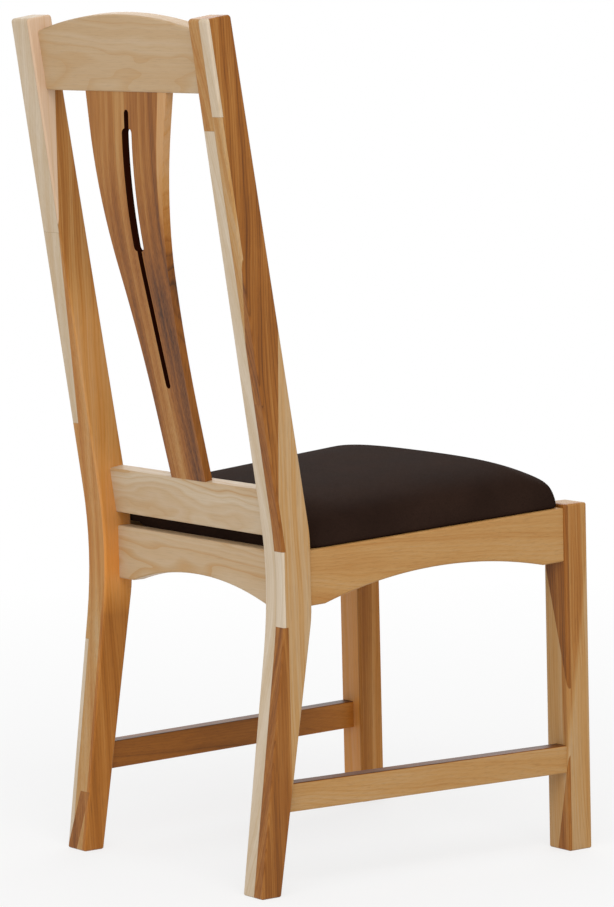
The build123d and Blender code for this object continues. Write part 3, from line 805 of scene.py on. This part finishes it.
def seatHeight(x, y, inset):
    side, rear, front, notch = seatEdges(x, y, inset)
    shape = swell(notch, seat["notchReach"], seat["notchRoundness"])
    shape *= swell(seatDepth(x, y, inset), seat["rimReach"], seat["rimRoundness"])
    corner = np.maximum(front, 0) + np.maximum(seat["cornerSide"] - np.abs(x), 0) * seat["cornerShare"]
    shape *= swell(corner, seat["cornerReach"], seat["cornerRoundness"])
    shape *= swell(side, seat["sideReach"], seat["sideRoundness"])
    shape *= swell(rear, seat["rearReach"], seat["rearRoundness"])
    shape *= swell(front, seat["frontReach"], seat["frontRoundness"])
    crown = (seat["crown"] - seat["edge"]) * (1 + seat["rise"] * (seat["middle"][1] - y))
    return seat["edge"] + crown * shape - inset


def onSeat(x, y, height):  # from the seat's own plane to the chair's frame
    run = (y - seat["face"]) / cos(seatSlope)
    up = height + seat["lift"]
    depth = seat["face"] + run * cos(seatSlope) + up * sin(seatSlope)
    return np.stack([x, depth, seat["level"] - run * sin(seatSlope) + up * cos(seatSlope)], axis=-1)


def outlineReach(turns, inset, floor):  # from the middle out to the rim, along each direction
    low, high = np.zeros_like(turns), np.full_like(turns, seat["farthest"])
    for _ in range(seat["halvings"]):
        half = (low + high) / 2
        x, y = seat["middle"][0] + half * np.sin(turns), seat["middle"][1] + half * np.cos(turns)
        inside = (seatDepth(x, y, inset) > 0) & (seatHeight(x, y, inset) > floor)
        low, high = np.where(inside, half, low), np.where(inside, high, half)
    return low


def evenTurns():  # directions that meet the outline at even steps, so the corners stay round
    turns = np.linspace(0, 2 * pi, seat["tries"])
    reach = outlineReach(turns, 0.0, 0.0)
    steps = np.hypot(np.diff(reach * np.sin(turns)), np.diff(reach * np.cos(turns)))
    run = np.concatenate([[0.0], np.cumsum(steps)])
    return np.interp(np.linspace(0, run[-1], seat["rays"], endpoint=False), run, turns)


def padLoops(inset, floor, turnUnder):
    turns = evenTurns()
    rim = outlineReach(turns, inset, 0.0 if turnUnder else floor)
    loops = []

    def loop(reach, height=None, tuck=0.0):
        x, y = seat["middle"][0] + reach * np.sin(turns), seat["middle"][1] + reach * np.cos(turns)
        if height is None:
            height = seatHeight(x, y, inset)
        inner = np.clip((seat["tuckHalf"] - np.abs(x)) / seat["tuckBlend"], 0, 1)
        behind = np.clip((y - seat["tuckFrom"]) / seat["tuckBlend"], 0, 1) * inner
        loops.append(onSeat(x, y, height - tuck * seat["tuck"] * behind * behind * (3 - 2 * behind)))

    if turnUnder:  # the hem under the board, then the roll of the edge, which hangs lower at the rear apron
        for share in np.linspace(1, 0, seat["hemLoops"], endpoint=False):
            loop(rim - seat["drawIn"] - share * turnUnder, floor, max(0, 1 - 2 * share) ** 0.5)
        for turn in np.linspace(0, pi / 2, seat["rollLoops"]):
            lift = 1 - cos(turn)
            drawn = rim - seat["drawIn"] * (1 - sin(turn))
            loop(drawn, floor + (seat["edge"] - floor) * lift, 1 - lift)
    else:
        loop(rim, floor)
    for number in range(1, seat["rings"]):
        loop(rim * (1 - (number / seat["rings"]) ** seat["ringPower"]))
    top = np.array([seat["middle"][0]]), np.array([seat["middle"][1]])
    return loops, onSeat(*top, seatHeight(*top, inset))


def padMesh(name, inset, floor, turnUnder):
    loops, top = padLoops(inset, floor, turnUnder)
    points = np.concatenate([*loops, top])
    count = seat["rays"]
    faces = []
    for ring in range(len(loops) - 1):
        for place in range(count):
            following = (place + 1) % count
            base = ring * count
            faces.append((base + following, base + place, base + count + place, base + count + following))
    last = (len(loops) - 1) * count
    for place in range(count):
        faces.append((last + (place + 1) % count, last + place, len(points) - 1))
    if not turnUnder:
        faces.append(tuple(range(count)))
    mesh = bpy.data.meshes.new(name)
    mesh.from_pydata(points.tolist(), [], faces)
    mesh.validate()
    mesh.shade_smooth()
    pad = bpy.data.objects.new(name, mesh)
    bpy.context.scene.collection.objects.link(pad)
    return pad


hide = {
    "stops": [(0.3, srgb(43, 30, 24)), (0.7, srgb(52, 37, 30))],
    "crease": srgb(22, 15, 12),
    "creaseShare": 0.45,
    "creaseEdge": (0.10, 0.10),
    "worn": 14.0,
    "pebbles": 620.0,
    "rough": 0.56,
    "roughVary": 0.10,
    "wornRelief": 0.2,
    "relief": {"Strength": 0.20, "Distance": 0.0003},
    "shine": 0.006,
}


def leather():
    material, shader, start = newMaterial("chocolateLeather")
    spot = start.spot()
    worn = spot.noise(hide["worn"], 3.0)
    inputs = {"Vector": spot, "Scale": hide["pebbles"], "Randomness": 1.0}
    pebbles = spot.node("ShaderNodeTexVoronoi", {"feature": "DISTANCE_TO_EDGE"}, inputs)
    creases = 1 - pebbles.step(*hide["creaseEdge"])
    colour = worn.ramp(hide["stops"]).mixed((*hide["crease"], 1.0), creases * hide["creaseShare"])
    relief = (worn * hide["wornRelief"] - creases).bump(hide["relief"])
    rough = hide["rough"] + (worn + creases) * hide["roughVary"]
    feed(shader, Base_Color=colour, Roughness=rough, Normal=relief, Specular_IOR_Level=hide["shine"])
    return material


filling = {"stops": [(0.35, srgb(222, 206, 158)), (0.7, srgb(242, 231, 190))], "cells": 700.0, "rough": 0.95}


def paleFoam():
    material, shader, start = newMaterial("paleFoam")
    cells = start.spot().noise(filling["cells"], 2.0)
    feed(shader, Base_Color=cells.ramp(filling["stops"]), Roughness=filling["rough"])
    return material


cover = padMesh("seatCover", 0.0, 0.0, seat["turnUnder"])
cover.data.materials.append(leather())
skin = cover.modifiers.new("thickness", "SOLIDIFY")
skin.thickness = seat["thickness"]
skin.offset = -1
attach(cover, "root")
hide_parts("seat_cover")

foam = padMesh("seatFoam", seat["foamInset"], seat["boardTop"], 0.0)
foam.data.materials.append(paleFoam())
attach(foam, "root")
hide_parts("seat_foam")
print("seat: cover and foam")

# Stage: pale floor that shows white with a soft shadow, even studio light
stage = {
    "floorSize": 60.0,
    "floorColour": (0.86, 0.86, 0.86),
    "floorRough": 0.9,
    "white": 0.72,
    "whiteFrom": 0.7,
    "whiteTo": 2.4,
    "worldLevel": 0.60,
    "key": {"at": (-2.8, 1.2, 3.4), "size": 2.6, "power": 62.0},
    "fill": {"at": (-1.2, 3.6, 2.0), "size": 2.4, "power": 26.0},
    "front": {"at": (2.4, -2.4, 2.6), "size": 2.6, "power": 30.0},
    "aim": (0.0, 0.0, 0.45),
}


def cameraShare(wire):  # rays that show the background as it is: to the camera, in gloss and through glass
    camera, glossy, through = (
        wire.node("ShaderNodeLightPath", None, None, name)
        for name in ("Is Camera Ray", "Is Glossy Ray", "Is Transmission Ray")
    )
    return camera.most(glossy).most(through)


def makeFloor():
    half = stage["floorSize"] / 2
    mesh = bpy.data.meshes.new("floor")
    corners = [(-half, -half, 0), (half, -half, 0), (half, half, 0), (-half, half, 0)]
    mesh.from_pydata(corners, [], [(0, 1, 2, 3)])
    floor = bpy.data.objects.new("floor", mesh)
    bpy.context.scene.collection.objects.link(floor)
    material, shader, start = newMaterial("paleFloor")
    feed(shader, Base_Color=(*stage["floorColour"], 1.0), Roughness=stage["floorRough"])
    feed(shader, Specular_IOR_Level=0.0)
    spot = start.spot()
    away = spot.node("ShaderNodeVectorMath", {"operation": "LENGTH"}, {0: spot}, "Value")
    middle = (stage["whiteFrom"] + stage["whiteTo"]) / 2
    clear = away.step(middle, stage["whiteTo"] - middle)
    share = cameraShare(start) * (stage["white"] + clear * (1 - stage["white"]))
    coverWith(material, start.node("ShaderNodeEmission"), share)
    mesh.materials.append(material)


def makeLamp(name, look):
    lamp = bpy.data.lights.new(name, "AREA")
    lamp.size = look["size"]
    lamp.energy = look["power"]
    holder = bpy.data.objects.new(name, lamp)
    holder.location = look["at"]
    sight = Vector(stage["aim"]) - Vector(look["at"])
    holder.rotation_euler = sight.to_track_quat("-Z", "Y").to_euler()
    bpy.context.scene.collection.objects.link(holder)


def makeWorld():
    world = bpy.data.worlds.new("studio")
    world.use_nodes = True
    bpy.context.scene.world = world
    tree = world.node_tree
    background = tree.nodes["Background"]
    level = cameraShare(Wire(tree)) * (1 - stage["worldLevel"]) + stage["worldLevel"]
    background.inputs["Color"].default_value = (1, 1, 1, 1)
    tree.links.new(level.socket, background.inputs["Strength"])


makeFloor()
for lampName in ("key", "fill", "front"):
    makeLamp(lampName, stage[lampName])
makeWorld()

# Camera: worked out from the feet, post tops and rails in the photograph
shot = {
    "at": (-4.6068, 3.2935, 1.1583),
    "right": (-0.58528, -0.81048, -0.02381),
    "up": (0.0788, -0.08608, 0.99317),
    "focalPixels": 4513.0,
    "longSide": 907,
    "sensor": 36.0,
    "clipEnd": 100.0,
}
lens = bpy.data.cameras.new("camera")
lens.sensor_width = shot["sensor"]
lens.lens = shot["focalPixels"] * shot["sensor"] / shot["longSide"]
lens.clip_end = shot["clipEnd"]
camera = bpy.data.objects.new("camera", lens)
side = Vector(shot["right"]).normalized()
upward = (Vector(shot["up"]) - side * side.dot(Vector(shot["up"]))).normalized()
turn = Matrix((side, upward, side.cross(upward))).transposed().to_4x4()
camera.matrix_world = Matrix.Translation(shot["at"]) @ turn
bpy.context.scene.collection.objects.link(camera)
bpy.context.scene.camera = camera
bpy.context.scene.view_settings.view_transform = "Standard"
print("stage: floor, lamps, world and camera")
